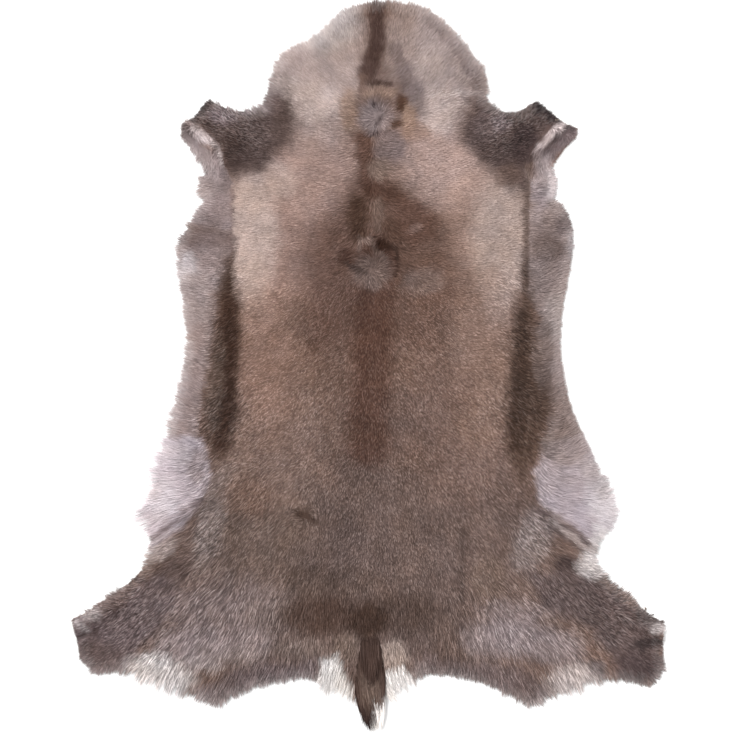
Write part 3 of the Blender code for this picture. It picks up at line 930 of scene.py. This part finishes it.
def colour_at(points, ground, markings):
    """The hair's colour: the markings, with uneven borders, over the ground tone."""
    warp = []
    for seed in (3.1, 8.7):
        warp.append(3.0 * unevenness(points, 50.0, seed) + 4.0 * unevenness(points, 12.0, seed))
    uneven = points + np.column_stack(warp)
    colour = np.tile(to_linear(ground), (len(points), 1))
    for mark in markings:
        cover = (COVERS[type(mark)](uneven, mark) * mark.strength)[:, None]
        colour = colour * (1.0 - cover) + to_linear(mark.tone) * cover
    mottle = 1.0 + 0.11 * unevenness(points, 38.0, 5.5) + 0.1 * unevenness(points, 13.0, 2.2)
    warmth = 0.014 * unevenness(points, 24.0, 11.4) + 0.02 * unevenness(points, 90.0, 12.6)
    hue = np.column_stack([1.0 + warmth, np.ones(len(points)), 1.0 - 1.4 * warmth])
    return colour * mottle[:, None] * hue


def dyed(colour):
    """The dye that makes the hair look this colour: paler, less the even grey that its sheen adds."""
    return np.clip(colour * DYE_GAIN - SHEEN, DARKEST, PALEST)


def coat_colour(points, edge):
    """The coat's markings, paler where the hair runs out along a soft edge."""
    colour = colour_at(points, GROUND_TONE, MARKINGS)
    room, nearest = nearest_on_edge(points, edge)
    soft = smooth_step((overhang_at(nearest) - 4.0) / 5.0)
    pale = (PALE_RIM_SHARE * soft * smooth_step(1.0 - room / PALE_RIM_WIDTH))[:, None]
    return dyed(colour * (1.0 - pale) + to_linear(PALE_RIM) * pale)


def sunk_at(points):
    """The share of the hair's height that is left along the partings."""
    left = np.ones(len(points))
    for parting in PARTINGS:
        near = 1.0 - distance_to_line(points, parting.line) / (parting.width / 2.0)
        left *= 1.0 - parting.depth * smooth_step(near)
    return left


def attribute(mesh, name, kind, values):
    field = "vector" if kind == "FLOAT_VECTOR" else "value"
    mesh.attributes.new(name, kind, "POINT").data.foreach_set(field, np.asarray(values, np.float32).ravel())


def growth_for(reach):
    """Short hair grows denser, so that it covers as well as long hair."""
    return np.clip((USUAL_REACH / reach) ** 0.8, 0.6, 1.5)


def scalp_of(edge, inner_edge):
    """The surface that the coat grows from. It is a helper and isn't shown."""
    flat, faces = flat_sheet(inner_edge, SCALP_STEP)
    mesh = mesh_of("scalp", flat, lift_at(flat) + SKIN_THICKNESS, faces)
    lay, reach, height, grain = lie_at(flat)
    room, nearest = nearest_on_edge(flat, edge)
    outward = (nearest - flat) / np.maximum(room, SAME_POINT)[:, None]
    near_edge = smooth_step(1.0 - room / EDGE_TAPER)
    lay = lay + (EDGE_TURN * near_edge)[:, None] * outward
    turn = np.arctan2(lay[:, 1], lay[:, 0])
    turn = turn + 0.16 * unevenness(flat, 55.0, 1.3) + 0.12 * unevenness(flat, 16.0, 4.4)
    uneven_reach = reach * (1.0 + 0.12 * unevenness(flat, 24.0, 6.1))
    reach = np.minimum(uneven_reach, EDGE_REACH * room + 1.0 + locks_at(flat))
    height *= sunk_at(flat) * (1.0 - EDGE_SINK * near_edge) * (1.0 + 0.16 * unevenness(flat, 21.0, 7.9))
    still = np.zeros(len(flat))
    seen_along = np.minimum(SEEN_ALONG * reach, SEEN_ROOM * room)[:, None]
    seen_at = flat + seen_along * np.column_stack([np.cos(turn), np.sin(turn)])
    attribute(mesh, "lay", "FLOAT_VECTOR", np.column_stack([np.cos(turn), np.sin(turn), still]))
    attribute(mesh, "outward", "FLOAT_VECTOR", np.column_stack([outward, still]))
    attribute(mesh, "reach", "FLOAT", reach * MM)
    attribute(mesh, "height", "FLOAT", height * MM)
    attribute(mesh, "room", "FLOAT", room * MM)
    attribute(mesh, "overhang", "FLOAT", overhang_at(nearest) * MM)
    attribute(mesh, "grain", "FLOAT", grain)
    attribute(mesh, "growth", "FLOAT", growth_for(reach))
    attribute(mesh, "coat", "FLOAT_VECTOR", coat_colour(seen_at, edge))
    return bpy.data.objects.new("scalp", mesh)


def tail_scalp():
    """The crowned strip that the tail's hair grows from. All of it points to the tip of the tail."""
    flat, faces = flat_sheet(in_even_steps(np.array(TAIL_PLAN, float), TAIL_STEP), TAIL_STEP)
    side = nearest_on_edge(flat, np.array(TAIL_PLAN, float))[0]
    mesh = mesh_of("tail_scalp", flat, TAIL_LIFT + TAIL_CROWN * smooth_step(side / TAIL_SIDE), faces)
    to_tip = np.array(TAIL_TIP) - flat
    to_tip[:, 0] *= TAIL_NARROWING
    far = np.linalg.norm(to_tip, axis=1)
    still = np.zeros(len(flat))
    attribute(mesh, "lay", "FLOAT_VECTOR", np.column_stack([to_tip / far[:, None], still]))
    attribute(mesh, "outward", "FLOAT_VECTOR", np.zeros((len(flat), 3)))
    reach = np.clip(TAIL_HAIR_SHARE * far, TAIL_HAIR_SHORTEST, TAIL_HAIR_LONGEST)
    attribute(mesh, "reach", "FLOAT", reach * MM)
    attribute(mesh, "height", "FLOAT", np.full(len(flat), TAIL_HAIR_HEIGHT * MM))
    attribute(mesh, "room", "FLOAT", still)
    attribute(mesh, "overhang", "FLOAT", still)
    attribute(mesh, "grain", "FLOAT", np.full(len(flat), TAIL_GRAIN))
    attribute(mesh, "growth", "FLOAT", np.full(len(flat), 1.0))
    attribute(mesh, "coat", "FLOAT_VECTOR", dyed(colour_at(flat, TAIL_GROUND, TAIL_MARKINGS)))
    return bpy.data.objects.new("tail_scalp", mesh)


# Nodes


class Wire:
    """A socket's value, for maths on numbers and vectors."""

    def __init__(self, nodes, socket):
        self.nodes = nodes
        self.socket = socket

    def maths(self, operation, first, second):
        values = [value.socket if isinstance(value, Wire) else value for value in (first, second)]
        sockets = [value for value in values if isinstance(value, bpy.types.NodeSocket)]
        vectors = any(socket.type in ("VECTOR", "RGBA") for socket in sockets)
        kind = "ShaderNodeVectorMath" if vectors else "ShaderNodeMath"
        node = self.nodes.nodes.new(kind)
        node.operation = operation
        for socket, value in zip(node.inputs, values):
            if isinstance(value, bpy.types.NodeSocket):
                self.nodes.links.new(value, socket)
            else:
                socket.default_value = (value,) * 3 if vectors else value
        return Wire(self.nodes, node.outputs[0])

    def __add__(self, other):
        return self.maths("ADD", self, other)

    def __radd__(self, other):
        return self.maths("ADD", other, self)

    def __sub__(self, other):
        return self.maths("SUBTRACT", self, other)

    def __rsub__(self, other):
        return self.maths("SUBTRACT", other, self)

    def __mul__(self, other):
        return self.maths("MULTIPLY", self, other)

    def __rmul__(self, other):
        return self.maths("MULTIPLY", other, self)

    def __truediv__(self, other):
        return self.maths("DIVIDE", self, other)

    def __rtruediv__(self, other):
        return self.maths("DIVIDE", other, self)


class Nodes:
    """Makes nodes in one tree and joins them."""

    def __init__(self, tree):
        self.nodes = tree.nodes
        self.links = tree.links

    def add(self, kind, settings=None, **values):
        """A node with its settings, then its sockets' values or wires. A name's underscore is a space."""
        node = self.nodes.new(kind)
        for name, setting in (settings or {}).items():
            setattr(node, name, setting)
        for name, value in values.items():
            socket = self.socket_of(node.inputs, name.replace("_", " "))
            if isinstance(value, Wire):
                self.links.new(value.socket, socket)
            else:
                socket.default_value = value
        return node

    def socket_of(self, sockets, name):
        return next(socket for socket in sockets if socket.enabled and socket.name == name)

    def wire(self, kind, output, settings=None, **values):
        """The named output of a new node."""
        node = self.add(kind, settings, **values)
        return Wire(self, self.socket_of(node.outputs, output))

    def vector(self, x, y, z):
        return self.wire("ShaderNodeCombineXYZ", "Vector", X=x, Y=y, Z=z)

    def scaled(self, vector, scale):
        settings = {"operation": "SCALE"}
        return self.wire("ShaderNodeVectorMath", "Vector", settings, Vector=vector, Scale=scale)

    def length(self, vector):
        return self.wire("ShaderNodeVectorMath", "Value", {"operation": "LENGTH"}, Vector=vector)

    def carried(self, name, kind):
        return self.wire("GeometryNodeInputNamedAttribute", "Attribute", {"data_type": kind}, Name=name)

    def stored(self, geometry, name, kind, domain, value):
        settings = {"data_type": kind, "domain": domain}
        given = {"Geometry": geometry, "Name": name, "Value": value}
        return self.wire("GeometryNodeStoreNamedAttribute", "Geometry", settings, **given)

    def chance(self, low, high, seed):
        settings = {"data_type": "FLOAT"}
        return self.wire("FunctionNodeRandomValue", "Value", settings, Min=low, Max=high, Seed=seed)


# Hair

# How far hairs differ, as the least and most of their share. The fringe's own reach also goes by its tuft.
REACH_SPREAD = (0.72, 1.18)
HEIGHT_SPREAD = (0.6, 1.25)
WIDTH_SPREAD = (0.6, 1.5)
TWIST_SPREAD = (-0.3, 0.3)
FRINGE_SPREAD = (0.25, 1.65)

LOWEST_HAIR = 0.3
USUAL_OVERHANG = 12.0
FEW_PALE_HAIRS = 3.0
TUFT_SHADES = 0.3
LEAST_GRAIN = 0.06
SILVERING = 0.35

TreeInput = namedtuple("TreeInput", "name kind")
HAIR_INPUTS = (
    TreeInput("Scalp", "NodeSocketGeometry"),
    TreeInput("Blade", "NodeSocketObject"),
    TreeInput("Hair", "NodeSocketMaterial"),
    TreeInput("Density", "NodeSocketFloat"),
    TreeInput("Width", "NodeSocketFloat"),
    TreeInput("Tuft Size", "NodeSocketFloat"),
    TreeInput("Tuft Pull", "NodeSocketFloat"),
    TreeInput("Stray", "NodeSocketFloat"),
    TreeInput("Edge Reach", "NodeSocketFloat"),
    TreeInput("Rim", "NodeSocketFloat"),
    TreeInput("Foot", "NodeSocketFloat"),
    TreeInput("Top", "NodeSocketFloat"),
    TreeInput("Seed", "NodeSocketInt"),
)


def compared(nodes, first, operation, second):
    settings = {"data_type": "FLOAT", "operation": operation}
    return nodes.wire("FunctionNodeCompare", "Result", settings, A=first, B=second)


def both(nodes, first, second):
    node = nodes.add("FunctionNodeBooleanMath", {"operation": "AND"})
    for socket, value in zip(node.inputs, (first, second)):
        nodes.links.new(value.socket, socket)
    return Wire(nodes, node.outputs[0])


def hair_tree():
    """Grows one blade of hair at each of many random places on a scalp, from Foot to Top along the hide.

    Each lies the scalp's way, leans to the middle of its tuft and strays a little. Edge Reach adds that
    share of the overhang to the hair, and Rim keeps the roots to that width along the edge.
    """
    tree = bpy.data.node_groups.new("hair", "GeometryNodeTree")
    tree.is_modifier = True
    for row in HAIR_INPUTS:
        tree.interface.new_socket(name=row.name, in_out="INPUT", socket_type=row.kind)
    tree.interface.new_socket(name="Coat", in_out="OUTPUT", socket_type="NodeSocketGeometry")
    nodes = Nodes(tree)
    inputs = nodes.add("NodeGroupInput")
    given = {row.name: Wire(nodes, inputs.outputs[row.name]) for row in HAIR_INPUTS}
    seed = given["Seed"]

    place = nodes.wire("GeometryNodeInputPosition", "Position")
    split = nodes.add("ShaderNodeSeparateXYZ", Vector=place)
    north = Wire(nodes, split.outputs["Y"])
    in_band = both(
        nodes,
        compared(nodes, north, "GREATER_EQUAL", given["Foot"]),
        compared(nodes, north, "LESS_THAN", given["Top"]),
    )
    at_rim = compared(nodes, nodes.carried("room", "FLOAT"), "LESS_THAN", given["Rim"])
    wispy = 1.0 + given["Edge Reach"] * (nodes.carried("overhang", "FLOAT") / (USUAL_OVERHANG * MM) - 1.0)
    roots = nodes.add(
        "GeometryNodeDistributePointsOnFaces",
        {"distribute_method": "RANDOM"},
        Mesh=given["Scalp"],
        Selection=both(nodes, in_band, at_rim),
        Density=given["Density"] * nodes.carried("growth", "FLOAT") * wispy,
        Seed=seed,
    )
    points = Wire(nodes, roots.outputs["Points"])
    upright = Wire(nodes, roots.outputs["Normal"])

    cell = nodes.add(
        "ShaderNodeTexVoronoi", {"voronoi_dimensions": "2D"}, Vector=place, Scale=1.0 / given["Tuft Size"]
    )
    middle = Wire(nodes, nodes.socket_of(cell.outputs, "Position"))
    flat_place = nodes.vector(Wire(nodes, split.outputs["X"]), north, 0.0)
    grain = nodes.carried("grain", "FLOAT") + LEAST_GRAIN
    pull = nodes.scaled(middle - flat_place, given["Tuft Pull"] * (0.2 + 1.3 * grain))
    reach = nodes.carried("reach", "FLOAT") * nodes.chance(*REACH_SPREAD, seed + 1)
    along = nodes.scaled(nodes.carried("lay", "FLOAT_VECTOR"), reach)
    tuft_draw = nodes.wire("ShaderNodeSeparateXYZ", "X", Vector=Wire(nodes, cell.outputs["Color"]))
    own_reach = nodes.chance(*FRINGE_SPREAD, seed + 2) * (0.35 + 0.9 * tuft_draw)
    over_edge = nodes.carried("overhang", "FLOAT") * given["Edge Reach"] * own_reach
    out = nodes.scaled(nodes.carried("outward", "FLOAT_VECTOR"), over_edge)
    stray_x = nodes.chance(-1.0, 1.0, seed + 3)
    stray_y = nodes.chance(-1.0, 1.0, seed + 4)
    stray = nodes.scaled(nodes.vector(stray_x, stray_y, 0.0), reach * given["Stray"] * (0.35 + 1.1 * grain))
    lay = along + out + pull + stray

    axes = {"primary_axis": "Z", "secondary_axis": "X"}
    turned = nodes.wire(
        "FunctionNodeAxesToRotation", "Rotation", axes, Primary_Axis=upright, Secondary_Axis=lay
    )
    height = nodes.carried("height", "FLOAT") * nodes.chance(*HEIGHT_SPREAD, seed + 5)
    width = given["Width"] * nodes.chance(*WIDTH_SPREAD, seed + 6)
    blade = nodes.add("GeometryNodeObjectInfo", {"transform_space": "ORIGINAL"}, Object=given["Blade"])
    hairs = nodes.wire(
        "GeometryNodeInstanceOnPoints",
        "Instances",
        Points=points,
        Instance=Wire(nodes, blade.outputs["Geometry"]),
        Rotation=turned,
        Scale=nodes.vector(nodes.length(lay), width, height),
    )
    draw = nodes.chance(0.0, 1.0, seed + 7)
    own_tint = 1.0 + grain * (FEW_PALE_HAIRS * draw * draw - FEW_PALE_HAIRS / 3.0)
    tuft_tint = 1.0 + TUFT_SHADES * grain * (tuft_draw - 0.5)
    hairs = nodes.stored(hairs, "tint", "FLOAT", "INSTANCE", own_tint * tuft_tint)
    hairs = nodes.stored(hairs, "twist", "FLOAT", "INSTANCE", width * nodes.chance(*TWIST_SPREAD, seed + 8))
    hairs = nodes.wire("GeometryNodeRealizeInstances", "Geometry", Geometry=hairs)
    split = nodes.add("ShaderNodeSeparateXYZ", Vector=place)
    twist = nodes.carried("side", "FLOAT") * nodes.carried("twist", "FLOAT")
    twisted = Wire(nodes, split.outputs["Z"]) + twist
    off_ground = twisted.maths("MAXIMUM", twisted, LOWEST_HAIR * MM)
    moved = nodes.vector(Wire(nodes, split.outputs["X"]), Wire(nodes, split.outputs["Y"]), off_ground)
    hairs = nodes.wire("GeometryNodeSetPosition", "Geometry", Geometry=hairs, Position=moved)
    hairs = nodes.wire("GeometryNodeSetMaterial", "Geometry", Geometry=hairs, Material=given["Hair"])
    output = nodes.add("NodeGroupOutput")
    nodes.links.new(hairs.socket, output.inputs["Coat"])
    return tree


def blade_of(name, rows):
    """One hair of unit size, from its root at the origin to a point.

    Each row is its way along, its half width and its height there.
    """
    corners, along, side = [(0.0, 0.0, 0.0)], [0.0], [0.0]
    faces = []
    last = [0]
    for x, half, z in rows:
        here = list(range(len(corners), len(corners) + (2 if half else 1)))
        for sign in (-1.0, 1.0)[: len(here)]:
            corners.append((x, sign * half, z))
            along.append(x)
            side.append(sign if half else 0.0)
        if len(last) == 1:
            faces.append((last[0], here[0], here[1]))
        elif len(here) == 1:
            faces.append((last[0], here[0], last[1]))
        else:
            faces += [(last[0], here[0], here[1]), (last[0], here[1], last[1])]
        last = here
    mesh = bpy.data.meshes.new(name)
    mesh.from_pydata(corners, [], faces)
    mesh.shade_smooth()
    attribute(mesh, "along", "FLOAT", along)
    attribute(mesh, "side", "FLOAT", side)
    return bpy.data.objects.new(name, mesh)


MESH_ATTRIBUTES = {"position", "sharp_face", ".corner_vert", ".corner_edge", ".edge_verts"}
KEPT_ATTRIBUTES = MESH_ATTRIBUTES | {"coat", "tint", "along"}


def grown(name, scalp, tree, **sizes):
    """The hair that the tree grows, as a plain mesh."""
    helper = bpy.data.objects.new(name + "_scalp", scalp.data)
    bpy.context.scene.collection.objects.link(helper)
    growth = helper.modifiers.new("hair", "NODES")
    growth.node_group = tree
    for socket in tree.interface.items_tree:
        key = socket.name.lower().replace(" ", "_")
        if socket.in_out == "INPUT" and key in sizes:
            growth[socket.identifier] = sizes[key]
    graph = bpy.context.evaluated_depsgraph_get()
    mesh = bpy.data.meshes.new_from_object(
        helper.evaluated_get(graph), preserve_all_data_layers=True, depsgraph=graph
    )
    mesh.name = name
    bpy.data.objects.remove(helper)
    for spare in [item.name for item in mesh.attributes if item.name not in KEPT_ATTRIBUTES]:
        mesh.attributes.remove(mesh.attributes[spare])
    mesh.materials.pop(index=0)  # the scalp's own empty slot
    plan_map(mesh)
    return shown(name, mesh)


def plan_map(mesh):
    """Lays the piece out on a map as it is seen from above."""
    places = np.empty(len(mesh.vertices) * 3, np.float32)
    mesh.vertices.foreach_get("co", places)
    plan = places.reshape(-1, 3)[:, :2]
    low, high = plan.min(axis=0), plan.max(axis=0)
    corners = np.empty(len(mesh.loops), np.int32)
    mesh.loops.foreach_get("vertex_index", corners)
    laid = (plan - low) / (high - low)
    mesh.uv_layers.new(name="OFBake").data.foreach_set("uv", laid[corners].ravel())


# Materials


def plain_material(name):
    material = bpy.data.materials.new(name)
    material.use_nodes = True
    nodes = Nodes(material.node_tree)
    shader = material.node_tree.nodes["Principled BSDF"]
    return material, nodes, shader


def hair_material(name, bleach):
    """Hollow guard hair: darker at the root, which is painted shade for the depth of the coat, paler and
    drier at the tip, each hair a shade of its own. The bleach is how far its tip turns pale."""
    material, nodes, shader = plain_material(name)
    coat = nodes.wire("ShaderNodeAttribute", "Vector", {"attribute_name": "coat"})
    tint = nodes.wire("ShaderNodeAttribute", "Fac", {"attribute_name": "tint"})
    along = nodes.wire("ShaderNodeAttribute", "Fac", {"attribute_name": "along"})
    place = nodes.wire("ShaderNodeTexCoord", "Object")
    fine = nodes.wire("ShaderNodeTexNoise", "Fac", Vector=place, Scale=640.0, Detail=1.0)
    # The root-to-tip factor is painted shade: it darkens each hair towards its root for the shadow deep in
    # the coat. The tint and the fine noise are the hairs' own tones.
    shade = tint * (0.7 + 0.36 * along) * (0.76 + 0.48 * fine)
    tip = bleach * along * along
    parts = nodes.add("ShaderNodeSeparateXYZ", Vector=coat)
    red, green, blue = (Wire(nodes, parts.outputs[axis]) for axis in "XYZ")
    grey = (red + green + blue) / 3.0
    silver = nodes.add(
        "ShaderNodeMix",
        {"data_type": "RGBA"},
        Factor=(tint - 1.0) * SILVERING,
        A=nodes.scaled(coat, shade),
        B=nodes.scaled(nodes.vector(grey * 1.06, grey, grey * 0.98), shade),
    )
    silver = Wire(nodes, nodes.socket_of(silver.outputs, "Result"))
    mixed = nodes.add("ShaderNodeMix", {"data_type": "RGBA"}, Factor=tip, A=silver)
    nodes.socket_of(mixed.inputs, "B").default_value = (*to_linear(PALE_TIP), 1.0)
    nodes.links.new(nodes.socket_of(mixed.outputs, "Result"), shader.inputs["Base Color"])
    nodes.links.new((0.78 - 0.14 * along).socket, shader.inputs["Roughness"])
    shader.inputs["Specular IOR Level"].default_value = 0.15
    return material


def underfur_material():
    material, nodes, shader = plain_material("underfur")
    coat = nodes.wire("ShaderNodeAttribute", "Vector", {"attribute_name": "coat"})
    place = nodes.wire("ShaderNodeTexCoord", "Object")
    fluff = nodes.wire("ShaderNodeTexNoise", "Fac", Vector=place, Scale=520.0, Detail=4.0, Roughness=0.6)
    # The coat's colour is darkened here as painted shade for the wool's place under the guard hair. The
    # fluff noise on top of it is the wool's own uneven tone.
    colour = nodes.scaled(coat, 0.6 + 0.35 * fluff)
    nodes.links.new(colour.socket, shader.inputs["Base Color"])
    nodes.links.new((0.85 + 0.1 * fluff).socket, shader.inputs["Roughness"])
    bump = nodes.wire("ShaderNodeBump", "Normal", Height=fluff, Strength=0.8, Distance=2.0 * MM)
    nodes.links.new(bump.socket, shader.inputs["Normal"])
    shader.inputs["Specular IOR Level"].default_value = 0.2
    return material


SUEDE = tuple(to_linear((206, 190, 168))) + (1.0,)
DARK_SUEDE = tuple(to_linear((172, 150, 126))) + (1.0,)


def suede_material():
    """The flesh side: buffed suede, with a fine nap and the blotches that curing leaves."""
    material, nodes, shader = plain_material("suede")
    place = nodes.wire("ShaderNodeTexCoord", "Object")
    blotch = nodes.wire("ShaderNodeTexNoise", "Fac", Vector=place, Scale=14.0, Detail=4.0, Roughness=0.55)
    nap = nodes.wire("ShaderNodeTexNoise", "Fac", Vector=place, Scale=900.0, Detail=3.0)
    mixed = nodes.add("ShaderNodeMix", {"data_type": "RGBA"}, Factor=blotch * 0.8 + nap * 0.2)
    nodes.socket_of(mixed.inputs, "A").default_value = DARK_SUEDE
    nodes.socket_of(mixed.inputs, "B").default_value = SUEDE
    nodes.links.new(nodes.socket_of(mixed.outputs, "Result"), shader.inputs["Base Color"])
    nodes.links.new((0.8 + 0.15 * nap).socket, shader.inputs["Roughness"])
    bump = nodes.wire("ShaderNodeBump", "Normal", Height=nap + blotch, Strength=0.35, Distance=0.6 * MM)
    nodes.links.new(bump.socket, shader.inputs["Normal"])
    shader.inputs["Specular IOR Level"].default_value = 0.25
    return material


# Pieces


def skin_piece(inner_edge):
    flat, faces = flat_sheet(inner_edge, SKIN_STEP)
    mesh = mesh_of("hide_skin", flat, lift_at(flat), faces)
    mesh.materials.append(suede_material())
    skin = shown("hide_skin", mesh)
    thickness = skin.modifiers.new("thickness", "SOLIDIFY")
    thickness.thickness = SKIN_THICKNESS * MM
    thickness.offset = 1.0
    area = sum(polygon.area for polygon in mesh.polygons)
    return skin, area


def underfur_piece(edge, inner_edge):
    """The soft wool under the guard hair, down to nothing at the skin's edge."""
    flat, faces = flat_sheet(inner_edge, SKIN_STEP)
    height = lie_at(flat)[2] * sunk_at(flat)
    room = nearest_on_edge(flat, edge)[0]
    depth = UNDERFUR_SHARE * height * smooth_step(room / UNDERFUR_TAPER)
    depth *= 1.0 + 0.25 * unevenness(flat, 30.0, 9.3)
    depth = np.maximum(depth, LEAST_WOOL)
    mesh = mesh_of("underfur", flat, lift_at(flat) + SKIN_THICKNESS, faces)
    attribute(mesh, "coat", "FLOAT_VECTOR", coat_colour(flat, edge))
    mesh.materials.append(underfur_material())
    wool = shown("underfur", mesh)
    group = wool.vertex_groups.new(name="depth")
    deepest = float(depth.max())
    for index, share in enumerate(depth / deepest):
        group.add([index], float(share), "REPLACE")
    thickness = wool.modifiers.new("depth", "SOLIDIFY")
    thickness.thickness = deepest * MM
    thickness.offset = 1.0
    thickness.vertex_group = "depth"
    return wool


# The coat's bands from the tail to the neck, so that no piece holds too many hairs.
Band = namedtuple("Band", "name foot top seed")
BANDS = (
    Band("rump_hair", -700, -400, 11),
    Band("loin_hair", -400, -200, 12),
    Band("barrel_hair", -200, 50, 13),
    Band("rib_hair", 50, 290, 14),
    Band("neck_hair", 290, 700, 15),
)
COAT_BLADE = ((0.42, 0.5, 0.76), (1.0, 0.0, 1.0))
LONG_BLADE = ((0.3, 0.45, 0.7), (0.66, 0.5, 1.0), (1.0, 0.0, 0.75))

# The three kinds of hair. The density is roots on a square metre where the hair is of its usual length. The
# tuft pull is a share of the way to a tuft's middle, and the stray is a share of the reach.
COAT_HAIR = {
    "density": 385000.0,
    "width": 1.1 * MM,
    "tuft_size": 6.0 * MM,
    "tuft_pull": 0.22,
    "stray": 0.25,
    "edge_reach": 0.0,
    "rim": 10.0,
}
FRINGE_HAIR = {
    "density": 400000.0,
    "width": 0.75 * MM,
    "tuft_size": 9.0 * MM,
    "tuft_pull": 0.45,
    "stray": 0.3,
    "edge_reach": 0.6,
    "rim": 24.0 * MM,
    "foot": -1.0,
    "top": 1.0,
    "seed": 31,
}
FRINGE_BLEACH = 0.12
TAIL_HAIR = {
    "density": 900000.0,
    "width": 1.1 * MM,
    "tuft_size": 10.0 * MM,
    "tuft_pull": 0.3,
    "stray": 0.14,
    "edge_reach": 0.0,
    "rim": 10.0,
    "foot": -1.0,
    "top": 1.0,
    "seed": 41,
}


def coat_pieces(scalp, tree):
    """The guard hair, one piece for each band of the coat."""
    blade = blade_of("guard_hair", COAT_BLADE)
    hair = hair_material("guard_hair", 0.0)
    pieces = []
    for band in BANDS:
        place = {"foot": band.foot * MM, "top": band.top * MM, "seed": band.seed}
        pieces.append(grown(band.name, scalp, tree, blade=blade, hair=hair, **COAT_HAIR, **place))
    return pieces


def long_hair_pieces(scalp, tree):
    """The fringe along the skin's edge, and the tail."""
    blade = blade_of("long_hair", LONG_BLADE)
    fringe_hair = hair_material("fringe_hair", FRINGE_BLEACH)
    fringe = grown("edge_fringe", scalp, tree, blade=blade, hair=fringe_hair, **FRINGE_HAIR)
    tail_hair = hair_material("tail_hair", 0.0)
    tail = grown("tail_hair", tail_scalp(), tree, blade=blade, hair=tail_hair, **TAIL_HAIR)
    return [fringe, tail]


# Stage


FLOOR_HALF = 3.0
FLOOR_Z = -0.2 * MM
FLOOR_TONE = 0.89


def make_floor():
    mesh = bpy.data.meshes.new("floor")
    corners = [(x * FLOOR_HALF, y * FLOOR_HALF, FLOOR_Z) for x, y in ((-1, -1), (1, -1), (1, 1), (-1, 1))]
    mesh.from_pydata(corners, [], [(0, 1, 2, 3)])
    material, nodes, shader = plain_material("pale_floor")
    place = nodes.wire("ShaderNodeTexCoord", "Object")
    grain = nodes.wire("ShaderNodeTexNoise", "Fac", Vector=place, Scale=60.0, Detail=2.0)
    tone = FLOOR_TONE + 0.02 * grain
    nodes.links.new(tone.socket, shader.inputs["Base Color"])
    shader.inputs["Roughness"].default_value = 0.9
    shader.inputs["Specular IOR Level"].default_value = 0.0
    mesh.materials.append(material)
    shown("floor", mesh)


CAMERA_HEIGHT = 5.0
VIEW_WIDTH = 1.2602
VIEW_CENTRE = (0.0, 0.001)


def make_camera():
    """Straight above, with the neck at the top of the view."""
    camera = bpy.data.cameras.new("camera")
    camera.sensor_width = 36.0
    camera.lens = camera.sensor_width * CAMERA_HEIGHT / VIEW_WIDTH
    camera.clip_end = 50.0
    stand = bpy.data.objects.new("camera", camera)
    stand.location = (*VIEW_CENTRE, CAMERA_HEIGHT)
    bpy.context.scene.collection.objects.link(stand)
    bpy.context.scene.camera = stand


STUDIO_STRENGTH = 0.95
LAMP_FROM = (-0.45, 0.5, 0.8)
LAMP_STRENGTH = 3.0
LAMP_SPREAD = 0.5


def make_light():
    """An even white studio with one large soft lamp from the upper left."""
    world = bpy.data.worlds.new("studio")
    world.use_nodes = True
    world.node_tree.nodes["Background"].inputs["Color"].default_value = (1.0, 1.0, 1.0, 1.0)
    world.node_tree.nodes["Background"].inputs["Strength"].default_value = STUDIO_STRENGTH
    bpy.context.scene.world = world
    lamp = bpy.data.lights.new("soft_lamp", "SUN")
    lamp.energy = LAMP_STRENGTH
    lamp.angle = LAMP_SPREAD
    lamp_stand = bpy.data.objects.new("soft_lamp", lamp)
    lamp_stand.rotation_euler = Vector(LAMP_FROM).to_track_quat("Z", "Y").to_euler()
    bpy.context.scene.collection.objects.link(lamp_stand)
    bpy.context.scene.view_settings.view_transform = "Standard"


def make_hide():
    edge = hide_edge()
    inner_edge = skin_edge(edge)
    skin, area = skin_piece(inner_edge)
    wool = underfur_piece(edge, inner_edge)
    scalp = scalp_of(edge, inner_edge)
    tree = hair_tree()
    hairs = coat_pieces(scalp, tree) + long_hair_pieces(scalp, tree)
    for piece in (skin, wool, *hairs):
        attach(piece, BODY)
    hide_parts(HIDE)


make_hide()
make_floor()
make_camera()
make_light()
